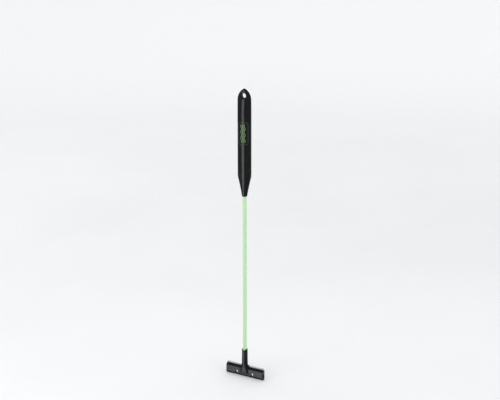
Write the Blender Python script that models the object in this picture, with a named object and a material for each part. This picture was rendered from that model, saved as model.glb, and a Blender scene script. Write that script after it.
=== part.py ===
"""A long-handled blade scraper for aquarium glass, at rest with its head down.

X points to the right, Y to the back and Z up along the rod. The origin is the middle of
the hanging hole in the grip. Sizes are in metres. Heights are measured from the lower
edge of the head, and one empty brings every piece down from there to the origin.
"""

import math

import bmesh
import bpy
from mathutils import Matrix, Vector

MM = 0.001
GAP = 0.3 * MM  # between pieces that touch
OVERSHOOT = 1.0 * MM  # how far a cutter reaches past the face it opens
ROUND_SIDES = 32
PIN_SIDES = 20

# Grip: a faceted bar with a pointed arch on top and a tapering neck below
HANG_HOLE_Z = 440.6 * MM
GRIP_BOTTOM_Z = 292.5 * MM
SHOULDER_Z = 323.0 * MM
ARCH_Z = 435.2 * MM
GRIP_HALF_WIDTH = 10.3 * MM
GRIP_HALF_DEPTH = 5.2 * MM
GRIP_SIDE_HALF = 2.0 * MM  # half the height of the flat side
GRIP_BEVEL = 1.8 * MM
GRIP_BEVEL_RISE = 1.4 * MM
GRIP_STRIP_HALF = 2.1 * MM  # half the width of the flat strip along the middle
ARCH_RADIUS = 16.9 * MM
TIP_RADIUS = 2.5 * MM
TIP_BEVEL_SHARE = 0.6  # towards the tip, where the bevel starts, as a share of the half width
TIP_STRIP_SHARE = 0.5  # and where the strip ends, as a share of that
TIP_SIDE_GAP = 0.1 * MM  # the least width that the bevel keeps at the tip
THIN_FROM_Z = 410.0 * MM  # above here the grip thins out towards its tip
THIN_TIP_SHARE = 0.4
NECK_HALF = 3.75 * MM
NECK_CURVE = 1.2
NECK_BLEND = 0.12
NECK_STRIP_SHARE = 0.8  # the strip's width at the neck's end, as a share of an octagon's side
NECK_END_SCALE = 0.9  # the neck's end is chamfered down to this size
NECK_END_RISE = 0.6 * MM
SHOULDER_REACH = 6.0 * MM  # how far above the shoulder the neck's close sections go on
HANG_HOLE_RADIUS = 3.5 * MM
HANG_HOLE_STRAIGHT = 5.0 * MM  # the length of the hole between its two chamfers
EDGE_RADIUS = 0.5 * MM

# Cover that closes the cored-out back of the grip
COVER_BOTTOM_Z = 342.0 * MM
COVER_TOP_Z = 428.0 * MM
COVER_HALF_WIDTH = 7.0 * MM
COVER_INNER_Y = 2.4 * MM
COVER_CORNER = 3.0 * MM
COVER_EDGE_RADIUS = 0.25 * MM
CORE_COUNT = 4
CORE_BOTTOM_Z = 350.0 * MM
CORE_TOP_Z = 425.0 * MM
CORE_HALF_WIDTH = 5.6 * MM
CORE_FLOOR_Y = -2.9 * MM
CORE_RIB = 3.0 * MM

# Rod: a stiff core in a plastic sleeve, plugged at both ends
ROD_BOTTOM_Z = 22.0 * MM
ROD_TOP_Z = 338.0 * MM
ROD_RADIUS = 3.0 * MM
SLEEVE_WALL = 0.7 * MM
PLUG_LENGTH = 5.0 * MM
PLUG_FLANGE = 1.0 * MM
END_EASE = 0.3 * MM  # the chamfer on the ends of the core, the plugs, the pins and the pegs

# Cross pins that hold the rod in the grip and in the head
PIN_RADIUS = 1.25 * MM
GRIP_PIN_Z = 331.0 * MM
GRIP_PIN_FRONT_Y = -3.8 * MM
GRIP_PIN_BACK_Y = 4.9 * MM
HEAD_PIN_Z = 33.0 * MM
HEAD_PIN_FRONT_Y = -3.3 * MM
HEAD_PIN_BACK_Y = 3.9 * MM

# Head: two jaws with the blade between them, below a socket for the rod
HEAD_HALF_WIDTH = 32.1 * MM
HEAD_BOTTOM_Z = 0.0
HEAD_TOP_Z = 16.4 * MM
JAW_EDGE_RADIUS = 0.4 * MM
FACE_BOTTOM_Z = 3.6 * MM
FACE_TOP_Z = 13.3 * MM
LOWER_BEVEL_Z = 2.4 * MM  # where the bevel below the face turns steeper
JAW_FRONT_Y = -2.0 * MM
JAW_SPLIT_Y = 1.2 * MM
JAW_BACK_Y = 4.1 * MM
LOWER_BEVEL_TURN_Y = JAW_FRONT_Y + 0.35 * MM
LOWER_BEVEL_END_Y = JAW_FRONT_Y + 1.4 * MM
UPPER_BEVEL_END_Y = JAW_FRONT_Y + 2.6 * MM
REAR_BEVEL_Z = 14.3 * MM
REAR_UPPER_BEVEL = 0.8 * MM
REAR_LOWER_BEVEL = 1.2 * MM
SOCKET_TOP_Z = 46.8 * MM
SOCKET_DIP = 1.8 * MM
SOCKET_DIP_HALF = 2.4 * MM
STEM_FRONT_Y = -4.4 * MM
STEM_SLOPE = 0.8  # how fast the stem's sides fall back from its front facet
STEM_BACK_SHARE = 0.42  # the flat part of the stem's back, as a share of its width
STEM_ROUNDING = 0.6 * MM
SHOULDER_STEP_Z = 20.1 * MM  # the stem's back is stepped here, over the blade's edge
WEDGE_BOTTOM_Z = 5.3 * MM
WEDGE_CHAMFER_Z = 7.5 * MM  # the wedge's front slopes back to the face from here down
WEDGE_HALF = 7.5 * MM
WEDGE_FACET = 4.8 * MM
WEDGE_FRONT_Y = -3.5 * MM
WEDGE_SLOPE = 0.55
WEDGE_FOOT_FACET = 7.3 * MM
WEDGE_FOOT_DEPTH = 0.1 * MM  # how deep the chamfer ends below the jaw's face
WEDGE_KNEE_Z = 12.8 * MM  # the wedge's front facet narrows faster from here up
WEDGE_KNEE_HALF = 6.6 * MM
WEDGE_KNEE_FACET = 4.0 * MM
WEDGE_KNEE_FRONT_Y = -3.95 * MM
WEDGE_KNEE_SLOPE = 0.68
THROAT_Z = 18.0 * MM
THROAT_HALF = 5.7 * MM
THROAT_FACET = 2.0 * MM
THROAT_FLARE = 2.4  # the power by which the stem widens down to its throat
STEM_NECK_Z = 25.0 * MM
STEM_NECK_HALF = 4.4 * MM
STEM_NECK_FACET = 1.4 * MM
RIM_HALF = 3.95 * MM
RIM_EASE = 0.3 * MM
RIM_EASE_RISE = 0.5 * MM
SLOT_X = 13.45 * MM
SLOT_Z = 5.5 * MM
SLOT_WIDTH = 3.5 * MM
SLOT_HEIGHT = 5.5 * MM
SLOT_CHAMFER = 0.5 * MM
PEG_RADIUS = 1.2 * MM
PEG_Z = 5.0 * MM
PEG_LENGTH = 2.0 * MM
PEG_XS = (-24.0 * MM, -5.0 * MM, 5.0 * MM, 24.0 * MM)
WINDOW_HALF = 5.2 * MM  # the arched gaps that keep the rear jaw clear of the slots
WINDOW_TOP_Z = 8.6 * MM
NOTCH_DEPTH = 1.1 * MM
NOTCH_Z = 8.5 * MM
NOTCH_HALF = 4.0 * MM

# Blade: its edge stands above the jaws, and it slides out to the right
BLADE_LEFT_X = -31.0 * MM
BLADE_RIGHT_X = 32.0 * MM
BLADE_BOTTOM_Z = 9.7 * MM
BLADE_TOP_Z = 19.5 * MM
BLADE_GRIND_Z = 18.1 * MM
BLADE_FRONT_Y = 1.5 * MM
BLADE_THICKNESS = 0.4 * MM
BLADE_EDGE = 0.08 * MM


def clear_scene():
    for obj in list(bpy.data.objects):
        bpy.data.objects.remove(obj, do_unlink=True)


def material(name, colour, roughness, metallic=0.0):
    """A Principled material with one colour."""
    made = bpy.data.materials.new(name)
    made.use_nodes = True
    shader = made.node_tree.nodes["Principled BSDF"]
    shader.inputs["Base Color"].default_value = (*colour, 1.0)
    shader.inputs["Roughness"].default_value = roughness
    shader.inputs["Metallic"].default_value = metallic
    return made


def add_object(name, bm, made_of, parent):
    """Puts the mesh into the scene as one object under the parent."""
    bmesh.ops.recalc_face_normals(bm, faces=bm.faces)
    mesh = bpy.data.meshes.new(name)
    bm.to_mesh(mesh)
    bm.free()
    mesh.shade_smooth()
    mesh.set_sharp_from_angle(angle=math.radians(30))
    obj = bpy.data.objects.new(name, mesh)
    bpy.context.scene.collection.objects.link(obj)
    obj.parent = parent
    if made_of:
        mesh.materials.append(made_of)
    return obj


def add_cutter(name, bm, parent):
    """A helper that only shapes other pieces."""
    cutter = add_object(name, bm, None, parent)
    cutter.hide_render = True
    cutter.display_type = "WIRE"
    return cutter


def boolean(target, tool, operation="DIFFERENCE"):
    modifier = target.modifiers.new(f"{operation.lower()} {tool.name}", "BOOLEAN")
    modifier.operation = operation
    modifier.solver = "EXACT"
    modifier.object = tool


def loft(rings):
    """A closed body through rings with the same number of points."""
    bm = bmesh.new()
    loops = [[bm.verts.new(point) for point in ring] for ring in rings]
    for low, high in zip(loops, loops[1:]):
        for i in range(len(low)):
            j = (i + 1) % len(low)
            bm.faces.new((low[i], low[j], high[j], high[i]))
    bm.faces.new(reversed(loops[0]))
    bm.faces.new(loops[-1])
    return bm


def rounded(corners, radius, steps=2):
    """The outline through the corners, with each corner turned into a short curve."""
    points = []
    for i, corner in enumerate(corners):
        here = Vector(corner)
        before = Vector(corners[i - 1]) - here
        after = Vector(corners[(i + 1) % len(corners)]) - here
        reach = min(radius, 0.45 * before.length, 0.45 * after.length)
        start = here + before.normalized() * reach
        end = here + after.normalized() * reach
        for step in range(steps + 1):
            t = step / steps
            points.append(start * (1 - t) ** 2 + here * 2 * t * (1 - t) + end * t**2)
    return points


def at_height(outline, z):
    return [Vector((x, y, z)) for x, y in outline]


def mirrored(half):
    """The whole outline of a section from its right half, front to back."""
    return half + [(-x, y) for x, y in reversed(half)]


def turned(profile, sides=ROUND_SIDES):
    """A round body about Z from (radius, height) pairs, closed by flat ends."""
    rings = []
    for radius, z in profile:
        angles = [2 * math.pi * i / sides for i in range(sides)]
        rings.append([Vector((radius * math.cos(a), radius * math.sin(a), z)) for a in angles])
    return loft(rings)


def turned_along_y(profile, x, z, sides=ROUND_SIDES):
    """A round body about an axis parallel to Y, from (radius, y) pairs."""
    bm = turned(profile, sides)
    place = Matrix.Translation((x, 0, z)) @ Matrix.Rotation(math.radians(-90), 4, "X")
    bm.transform(place)
    return bm


def block(low, high):
    """A box between two corners."""
    outline = [(low[0], low[1]), (high[0], low[1]), (high[0], high[1]), (low[0], high[1])]
    return loft([at_height(outline, low[2]), at_height(outline, high[2])])


def along_x(outline, left, right):
    """A bar from left to right, whose section is an outline of (y, z) pairs."""
    return loft([[Vector((x, y, z)) for y, z in outline] for x in (left, right)])


def soft_min(a, b, blend):
    """The smaller of two values, with the change between them rounded off."""
    near = max(blend - abs(a - b), 0.0)
    return min(a, b) - near * near / (4 * blend)


# ---- Grip ----

ARCH_OFFSET = ARCH_RADIUS - GRIP_HALF_WIDTH
TIP_CENTRE_Z = ARCH_Z + math.sqrt((ARCH_RADIUS - TIP_RADIUS) ** 2 - ARCH_OFFSET**2)
ARCH_TURN = math.atan2(TIP_CENTRE_Z - ARCH_Z, ARCH_OFFSET)  # where the arc meets the tip
TIP_Z = TIP_CENTRE_Z + TIP_RADIUS
ROOF_SLOPE = (GRIP_HALF_DEPTH - GRIP_SIDE_HALF - GRIP_BEVEL_RISE) / (
    GRIP_HALF_WIDTH - GRIP_BEVEL - GRIP_STRIP_HALF
)
ARCH_BEVEL_SLOPE = (GRIP_HALF_DEPTH - GRIP_SIDE_HALF) / GRIP_BEVEL


def thinned(z):
    """The share of its full depth that the grip keeps at this height."""
    rise = max(z - THIN_FROM_Z, 0.0) / (TIP_Z - THIN_FROM_Z)
    return 1 - (1 - THIN_TIP_SHARE) * rise**2


def roof(x):
    """The depth of the grip's shallow roof at a distance from the middle."""
    return GRIP_HALF_DEPTH - ROOF_SLOPE * max(abs(x) - GRIP_STRIP_HALF, 0.0)


def arch_half_width(z):
    if z - ARCH_Z > ARCH_RADIUS * math.sin(ARCH_TURN):
        return math.sqrt(TIP_RADIUS**2 - (z - TIP_CENTRE_Z) ** 2)
    return math.sqrt(ARCH_RADIUS**2 - (z - ARCH_Z) ** 2) - ARCH_OFFSET


def inside_arch(x, z):
    """How far a point lies inside the grip's outline, where that is an arch."""
    if math.atan2(z - ARCH_Z, x + ARCH_OFFSET) > ARCH_TURN:
        return TIP_RADIUS - math.hypot(x, z - TIP_CENTRE_Z)
    return ARCH_RADIUS - math.hypot(x + ARCH_OFFSET, z - ARCH_Z)


def grip_depth(x, z):
    return min(roof(x), GRIP_SIDE_HALF + max(inside_arch(x, z), 0.0) * ARCH_BEVEL_SLOPE)


def grip_corners(z):
    """The three corners of a quarter section: side, bevel and middle strip."""
    if z > ARCH_Z:
        width = arch_half_width(z)
        inner = math.sqrt(max((ARCH_RADIUS - GRIP_BEVEL) ** 2 - (z - ARCH_Z) ** 2, 0.0))
        bevel_x = max(inner - ARCH_OFFSET, TIP_BEVEL_SHARE * width)
        bevel_x = min(bevel_x, width - TIP_SIDE_GAP)
        strip_x = min(GRIP_STRIP_HALF, TIP_STRIP_SHARE * bevel_x)
        return [
            (width, GRIP_SIDE_HALF),
            (bevel_x, grip_depth(bevel_x, z)),
            (strip_x, grip_depth(strip_x, z)),
        ]
    full = [
        (GRIP_HALF_WIDTH, GRIP_SIDE_HALF),
        (GRIP_HALF_WIDTH - GRIP_BEVEL, GRIP_SIDE_HALF + GRIP_BEVEL_RISE),
        (GRIP_STRIP_HALF, GRIP_HALF_DEPTH),
    ]
    eighth = math.tan(math.pi / 8) * NECK_HALF
    diagonal = (NECK_HALF + eighth) / 2
    neck = [(NECK_HALF, eighth), (diagonal, diagonal), (NECK_STRIP_SHARE * eighth, NECK_HALF)]
    rise = max(z - GRIP_BOTTOM_Z, 0.0) / (SHOULDER_Z - GRIP_BOTTOM_Z)
    share = soft_min(1.0, rise**NECK_CURVE, NECK_BLEND)
    return [Vector(a).lerp(Vector(b), share) for a, b in zip(neck, full)]


def grip_ring(z, scale=1.0):
    quarter = [(x * scale, y * scale * thinned(z)) for x, y in grip_corners(z)]
    right = [(x, -y) for x, y in reversed(quarter)] + quarter
    return at_height(rounded(mirrored(right), EDGE_RADIUS), z)


def grip_heights():
    """Heights of the grip's sections, close together where its outline curves."""
    heights = [GRIP_BOTTOM_Z + NECK_END_RISE]
    neck_steps = 14
    reach = SHOULDER_Z + SHOULDER_REACH - heights[0]
    heights += [heights[0] + reach * i / neck_steps for i in range(1, neck_steps + 1)]
    thin_steps = 6
    heights += [THIN_FROM_Z + (ARCH_Z - THIN_FROM_Z) * i / thin_steps for i in range(thin_steps)]
    arch_steps = 14
    for i in range(arch_steps + 1):
        heights.append(ARCH_Z + ARCH_RADIUS * math.sin(ARCH_TURN * i / arch_steps))
    tip_steps = 5
    for i in range(1, tip_steps):
        angle = ARCH_TURN + (math.pi / 2 - ARCH_TURN) * i / tip_steps
        heights.append(TIP_CENTRE_Z + TIP_RADIUS * math.sin(angle))
    return heights


def cover_half_width(z):
    """Half the cover's width, which its rounded corners narrow at both ends."""
    end = min(z - COVER_BOTTOM_Z, COVER_TOP_Z - z)
    into_corner = min(max(COVER_CORNER - end, 0.0), COVER_CORNER)
    return COVER_HALF_WIDTH - COVER_CORNER + math.sqrt(COVER_CORNER**2 - into_corner**2)


def cover_heights():
    steps = 6
    corner = [COVER_CORNER * (1 - math.cos(math.pi / 2 * i / steps)) for i in range(steps + 1)]
    low = [COVER_BOTTOM_Z + c for c in corner]
    high = [COVER_TOP_Z - c for c in reversed(corner)]
    thin_steps = 4
    reach = high[0] - THIN_FROM_Z
    bend = [THIN_FROM_Z + reach * i / thin_steps for i in range(thin_steps)]
    return low + bend + high


def cover_bed(parent):
    """The recess in the grip's back that the cover fills."""
    rings = []
    for z in cover_heights():
        half = cover_half_width(z) + GAP
        middle = (COVER_BOTTOM_Z + COVER_TOP_Z) / 2
        stretched = z + math.copysign(GAP, z - middle)
        floor = COVER_INNER_Y - GAP
        above = GRIP_HALF_DEPTH + OVERSHOOT
        outline = [(half, floor), (half, above), (-half, above), (-half, floor)]
        rings.append(at_height(outline, stretched))
    return add_cutter("cover_bed_cutter", loft(rings), parent)


def make_grip_body(parent, plastic):
    rings = [grip_ring(GRIP_BOTTOM_Z, NECK_END_SCALE)] + [grip_ring(z) for z in grip_heights()]
    grip = add_object("grip_body", loft(rings), plastic, parent)

    straight = HANG_HOLE_STRAIGHT / 2
    reach = GRIP_HALF_DEPTH - straight
    profile = [
        (HANG_HOLE_RADIUS + reach, -GRIP_HALF_DEPTH),
        (HANG_HOLE_RADIUS, -straight),
        (HANG_HOLE_RADIUS, straight),
        (HANG_HOLE_RADIUS + reach, GRIP_HALF_DEPTH),
    ]
    hole = turned_along_y(profile, 0, HANG_HOLE_Z)
    boolean(grip, add_cutter("hang_hole_cutter", hole, parent))

    bore_radius = ROD_RADIUS + GAP
    bore = turned([(bore_radius, GRIP_BOTTOM_Z - OVERSHOOT), (bore_radius, ROD_TOP_Z + GAP)])
    boolean(grip, add_cutter("rod_bore_cutter", bore, parent))
    boolean(grip, cover_bed(parent))

    pitch = (CORE_TOP_Z - CORE_BOTTOM_Z + CORE_RIB) / CORE_COUNT
    for i in range(CORE_COUNT):
        low_z = CORE_BOTTOM_Z + i * pitch
        low = (-CORE_HALF_WIDTH, CORE_FLOOR_Y, low_z)
        high = (CORE_HALF_WIDTH, COVER_INNER_Y, low_z + pitch - CORE_RIB)
        boolean(grip, add_cutter(f"core_cutter_{i + 1}", block(low, high), parent))
    pin_reach = GRIP_HALF_DEPTH + OVERSHOOT
    boolean(grip, pin_hole("grip_pin", GRIP_PIN_Z, GRIP_PIN_FRONT_Y, pin_reach, parent))


def make_grip_cover(parent, plastic):
    rings = []
    for z in cover_heights():
        half = cover_half_width(z)
        edge = (half, roof(half) * thinned(z))
        strip = (GRIP_STRIP_HALF, GRIP_HALF_DEPTH * thinned(z))
        outline = mirrored([(half, COVER_INNER_Y), edge, strip])
        rings.append(at_height(rounded(outline, COVER_EDGE_RADIUS), z))
    add_object("grip_back_cover", loft(rings), plastic, parent)


# ---- Rod ----


def pin_hole(name, z, front_y, back_y, parent):
    """A hole across the rod for a cross pin."""
    radius = PIN_RADIUS + GAP
    hole = turned_along_y([(radius, front_y - GAP), (radius, back_y)], 0, z, PIN_SIDES)
    return add_cutter(f"{name}_hole_cutter", hole, parent)


def make_rod(parent, green, steel, rubber):
    across = ROD_RADIUS + OVERSHOOT
    holes = [
        pin_hole("rod_upper", GRIP_PIN_Z, -across, across, parent),
        pin_hole("rod_lower", HEAD_PIN_Z, -across, across, parent),
    ]
    bore_radius = ROD_RADIUS - SLEEVE_WALL
    sleeve_low = ROD_BOTTOM_Z + PLUG_FLANGE + GAP
    sleeve_high = ROD_TOP_Z - PLUG_FLANGE - GAP
    sleeve_profile = [(ROD_RADIUS, sleeve_low), (ROD_RADIUS, sleeve_high)]
    sleeve = add_object("rod_sleeve", turned(sleeve_profile), green, parent)
    bore = turned([(bore_radius, sleeve_low - OVERSHOOT), (bore_radius, sleeve_high + OVERSHOOT)])
    boolean(sleeve, add_cutter("sleeve_bore_cutter", bore, parent))

    core_radius = bore_radius - GAP
    core_low = ROD_BOTTOM_Z + PLUG_LENGTH + GAP
    core_high = ROD_TOP_Z - PLUG_LENGTH - GAP
    core_profile = [
        (core_radius - END_EASE, core_low),
        (core_radius, core_low + END_EASE),
        (core_radius, core_high - END_EASE),
        (core_radius - END_EASE, core_high),
    ]
    core = add_object("rod_core", turned(core_profile), steel, parent)
    for hole in holes:
        boolean(sleeve, hole)
        boolean(core, hole)

    lower = [
        (ROD_RADIUS - END_EASE, ROD_BOTTOM_Z),
        (ROD_RADIUS, ROD_BOTTOM_Z + END_EASE),
        (ROD_RADIUS, ROD_BOTTOM_Z + PLUG_FLANGE),
        (core_radius, ROD_BOTTOM_Z + PLUG_FLANGE),
        (core_radius, ROD_BOTTOM_Z + PLUG_LENGTH),
    ]
    add_object("rod_lower_plug", turned(lower), rubber, parent)
    both_ends = ROD_BOTTOM_Z + ROD_TOP_Z
    upper = [(radius, both_ends - z) for radius, z in reversed(lower)]
    add_object("rod_upper_plug", turned(upper), rubber, parent)


def make_cross_pin(name, z, front_y, back_y, parent, steel):
    profile = [
        (PIN_RADIUS - END_EASE, front_y),
        (PIN_RADIUS, front_y + END_EASE),
        (PIN_RADIUS, back_y - END_EASE),
        (PIN_RADIUS - END_EASE, back_y),
    ]
    add_object(name, turned_along_y(profile, 0, z, PIN_SIDES), steel, parent)


# ---- Head ----


def stem_ring(z, half, front, back, facet, slope=STEM_SLOPE):
    """A section of the socket stem: a flat facet in front and a rounded back."""
    side = STEM_BACK_SHARE * half
    right = [
        (facet, front),
        (half, front + (half - facet) * slope),
        (half, back - (half - side)),
        (side, back),
    ]
    return at_height(rounded(mirrored(right), STEM_ROUNDING), z)


def stem_rings():
    """Sections from the wedge's lower edge up to the socket's rim."""
    front, back = STEM_FRONT_Y, JAW_BACK_Y
    inside = JAW_FRONT_Y + WEDGE_FOOT_DEPTH
    foot = (WEDGE_HALF, inside, back - OVERSHOOT, WEDGE_FOOT_FACET, WEDGE_SLOPE)
    wedge = (WEDGE_HALF, WEDGE_FRONT_Y, back - OVERSHOOT, WEDGE_FACET, WEDGE_SLOPE)
    knee = (WEDGE_KNEE_HALF, WEDGE_KNEE_FRONT_Y, back - OVERSHOOT, WEDGE_KNEE_FACET, WEDGE_KNEE_SLOPE)
    rings = [
        stem_ring(WEDGE_BOTTOM_Z, *foot),
        stem_ring(WEDGE_CHAMFER_Z, *wedge),
        stem_ring(WEDGE_KNEE_Z, *knee),
    ]
    steps = 7
    for i in range(steps + 1):
        t = i / steps
        z = THROAT_Z + (STEM_NECK_Z - THROAT_Z) * t
        half = STEM_NECK_HALF + (THROAT_HALF - STEM_NECK_HALF) * (1 - t) ** THROAT_FLARE
        facet = STEM_NECK_FACET + (THROAT_FACET - STEM_NECK_FACET) * (1 - t) ** 2
        rings.append(stem_ring(z, half, front, back, facet))
    rings.append(stem_ring(SOCKET_TOP_Z - RIM_EASE_RISE, RIM_HALF, front, back, STEM_NECK_FACET))
    eased = (RIM_HALF - RIM_EASE, front + RIM_EASE, back - RIM_EASE, STEM_NECK_FACET)
    rings.append(stem_ring(SOCKET_TOP_Z, *eased))
    return rings


def slot_cutter(name, x, parent):
    """An upright oval hole through the front jaw, chamfered at both faces."""
    straight = (SLOT_HEIGHT - SLOT_WIDTH) / 2
    arc_steps = 10
    wide = SLOT_CHAMFER + OVERSHOOT

    def ring(y, grow):
        radius = SLOT_WIDTH / 2 + grow
        points = []
        for end in (1, -1):
            for i in range(arc_steps + 1):
                angle = math.pi * i / arc_steps + (0 if end > 0 else math.pi)
                across = radius * math.cos(angle)
                up = radius * math.sin(angle) + end * straight
                points.append(Vector((x + across, y, SLOT_Z + up)))
        return points

    rings = [
        ring(JAW_FRONT_Y - OVERSHOOT, wide),
        ring(JAW_FRONT_Y + SLOT_CHAMFER, 0),
        ring(JAW_SPLIT_Y - SLOT_CHAMFER, 0),
        ring(JAW_SPLIT_Y + OVERSHOOT, wide),
    ]
    return add_cutter(name, loft(rings), parent)


def arched(x, half, low, top, front, back, steps=12):
    """A bar along Y whose section is a round arch standing on straight sides."""
    outline = [(x - half, low), (x + half, low)]
    for i in range(steps + 1):
        angle = math.pi * i / steps
        outline.append((x + half * math.cos(angle), top - half + half * math.sin(angle)))
    return loft([[Vector((px, y, pz)) for px, pz in outline] for y in (front, back)])


def make_head_front_jaw(parent, plastic):
    outline = [
        (JAW_SPLIT_Y, HEAD_BOTTOM_Z),
        (LOWER_BEVEL_END_Y, HEAD_BOTTOM_Z),
        (LOWER_BEVEL_TURN_Y, LOWER_BEVEL_Z),
        (JAW_FRONT_Y, FACE_BOTTOM_Z),
        (JAW_FRONT_Y, FACE_TOP_Z),
        (UPPER_BEVEL_END_Y, HEAD_TOP_Z),
        (JAW_SPLIT_Y, HEAD_TOP_Z),
    ]
    bar = along_x(rounded(outline, JAW_EDGE_RADIUS), -HEAD_HALF_WIDTH, HEAD_HALF_WIDTH)
    jaw = add_object("head_front_jaw", bar, plastic, parent)
    stem = add_cutter("stem_solid", loft(stem_rings()), parent)
    boolean(jaw, stem, "UNION")

    low = (-HEAD_HALF_WIDTH, JAW_SPLIT_Y, HEAD_BOTTOM_Z)
    step = block(low, (HEAD_HALF_WIDTH, JAW_BACK_Y + OVERSHOOT, SHOULDER_STEP_Z))
    boolean(jaw, add_cutter("stem_step_cutter", step, parent))
    for name, x in (("slot_cutter_left", -SLOT_X), ("slot_cutter_right", SLOT_X)):
        boolean(jaw, slot_cutter(name, x, parent))

    bore_radius = ROD_RADIUS + GAP
    bore = turned([(bore_radius, ROD_BOTTOM_Z - GAP), (bore_radius, SOCKET_TOP_Z + OVERSHOOT)])
    boolean(jaw, add_cutter("socket_bore_cutter", bore, parent))
    front_y = STEM_FRONT_Y - OVERSHOOT
    dip = arched(0, SOCKET_DIP_HALF, -SOCKET_TOP_Z - OVERSHOOT, SOCKET_DIP - SOCKET_TOP_Z, front_y, 0)
    dip.transform(Matrix.Rotation(math.pi, 4, "Y"))
    boolean(jaw, add_cutter("rim_dip_cutter", dip, parent))

    pin_reach = JAW_BACK_Y + OVERSHOOT
    boolean(jaw, pin_hole("head_pin", HEAD_PIN_Z, HEAD_PIN_FRONT_Y, pin_reach, parent))
    for number, x in enumerate(PEG_XS, 1):
        radius = PEG_RADIUS + GAP
        ends = [(radius, JAW_SPLIT_Y - PEG_LENGTH), (radius, JAW_SPLIT_Y + OVERSHOOT)]
        hole = turned_along_y(ends, x, PEG_Z, PIN_SIDES)
        boolean(jaw, add_cutter(f"peg_hole_cutter_{number}", hole, parent))

    ends = [(1, JAW_FRONT_Y - OVERSHOOT), (1, JAW_SPLIT_Y + OVERSHOOT)]
    notch = turned_along_y(ends, 0, 0, ROUND_SIDES)
    size = Matrix.Diagonal((NOTCH_DEPTH, 1, NOTCH_HALF, 1))
    notch.transform(Matrix.Translation((HEAD_HALF_WIDTH, 0, NOTCH_Z)) @ size)
    boolean(jaw, add_cutter("notch_cutter", notch, parent))


def make_head_rear_jaw(parent, plastic):
    inner_y = JAW_SPLIT_Y + GAP
    outline = [
        (inner_y, HEAD_BOTTOM_Z),
        (inner_y, HEAD_TOP_Z),
        (JAW_BACK_Y - REAR_UPPER_BEVEL, HEAD_TOP_Z),
        (JAW_BACK_Y, REAR_BEVEL_Z),
        (JAW_BACK_Y, FACE_BOTTOM_Z),
        (JAW_BACK_Y - REAR_LOWER_BEVEL, HEAD_BOTTOM_Z),
    ]
    bar = along_x(rounded(outline, JAW_EDGE_RADIUS), -HEAD_HALF_WIDTH, HEAD_HALF_WIDTH)
    jaw = add_object("head_rear_jaw", bar, plastic, parent)

    low = (BLADE_LEFT_X - GAP, 0, BLADE_BOTTOM_Z - GAP)
    channel_y = BLADE_FRONT_Y + BLADE_THICKNESS + GAP
    high = (HEAD_HALF_WIDTH + OVERSHOOT, channel_y, HEAD_TOP_Z + OVERSHOOT)
    channel = block(low, high)
    boolean(jaw, add_cutter("channel_cutter", channel, parent))
    for number, x in enumerate(PEG_XS, 1):
        tip = inner_y - PEG_LENGTH
        profile = [
            (PEG_RADIUS - END_EASE, tip),
            (PEG_RADIUS, tip + END_EASE),
            (PEG_RADIUS, inner_y + OVERSHOOT),
        ]
        peg = turned_along_y(profile, x, PEG_Z, PIN_SIDES)
        boolean(jaw, add_cutter(f"peg_solid_{number}", peg, parent), "UNION")
    for name, x in (("window_cutter_left", -SLOT_X), ("window_cutter_right", SLOT_X)):
        low_z = HEAD_BOTTOM_Z - OVERSHOOT
        ends = (inner_y - GAP / 2, JAW_BACK_Y + OVERSHOOT)
        window = arched(x, WINDOW_HALF, low_z, WINDOW_TOP_Z, *ends)
        boolean(jaw, add_cutter(name, window, parent))


def make_blade(parent, steel):
    """The blade, ground on both sides to its upper edge. Its origin is its middle."""
    middle = Vector((0, BLADE_FRONT_Y + BLADE_THICKNESS / 2, (BLADE_BOTTOM_Z + BLADE_TOP_Z) / 2))
    half = BLADE_THICKNESS / 2
    outline = [
        (-half, BLADE_BOTTOM_Z),
        (half, BLADE_BOTTOM_Z),
        (half, BLADE_GRIND_Z),
        (BLADE_EDGE / 2, BLADE_TOP_Z),
        (-BLADE_EDGE / 2, BLADE_TOP_Z),
        (-half, BLADE_GRIND_Z),
    ]
    section = [(y, z - middle.z) for y, z in outline]
    blade = add_object("blade", along_x(section, BLADE_LEFT_X, BLADE_RIGHT_X), steel, parent)
    blade.location = middle


def main():
    clear_scene()
    black = material("black plastic", (0.012, 0.013, 0.013), 0.42)
    cover_black = material("cover plastic", (0.010, 0.011, 0.011), 0.5)
    head_black = material("head plastic", (0.016, 0.017, 0.017), 0.45)
    jaw_black = material("rear jaw plastic", (0.013, 0.014, 0.014), 0.5)
    green = material("mint sleeve", (0.36, 0.78, 0.46), 0.35)
    core_steel = material("core steel", (0.55, 0.56, 0.57), 0.35, 1.0)
    pin_steel = material("pin steel", (0.62, 0.62, 0.62), 0.3, 1.0)
    blade_steel = material("blade steel", (0.68, 0.68, 0.67), 0.25, 1.0)
    rubber = material("plug rubber", (0.03, 0.03, 0.03), 0.8)

    tool = bpy.data.objects.new("tool", None)
    tool.location = (0, 0, -HANG_HOLE_Z)
    bpy.context.scene.collection.objects.link(tool)

    make_grip_body(tool, black)
    make_grip_cover(tool, cover_black)
    make_rod(tool, green, core_steel, rubber)
    make_cross_pin(
        "grip_cross_pin", GRIP_PIN_Z, GRIP_PIN_FRONT_Y, GRIP_PIN_BACK_Y, tool, pin_steel
    )
    make_cross_pin(
        "head_cross_pin", HEAD_PIN_Z, HEAD_PIN_FRONT_Y, HEAD_PIN_BACK_Y, tool, pin_steel
    )
    make_head_front_jaw(tool, head_black)
    make_head_rear_jaw(tool, jaw_black)
    make_blade(tool, blade_steel)


main()
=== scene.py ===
import math

import bmesh
import bpy
from mathutils import Matrix, Vector


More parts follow.
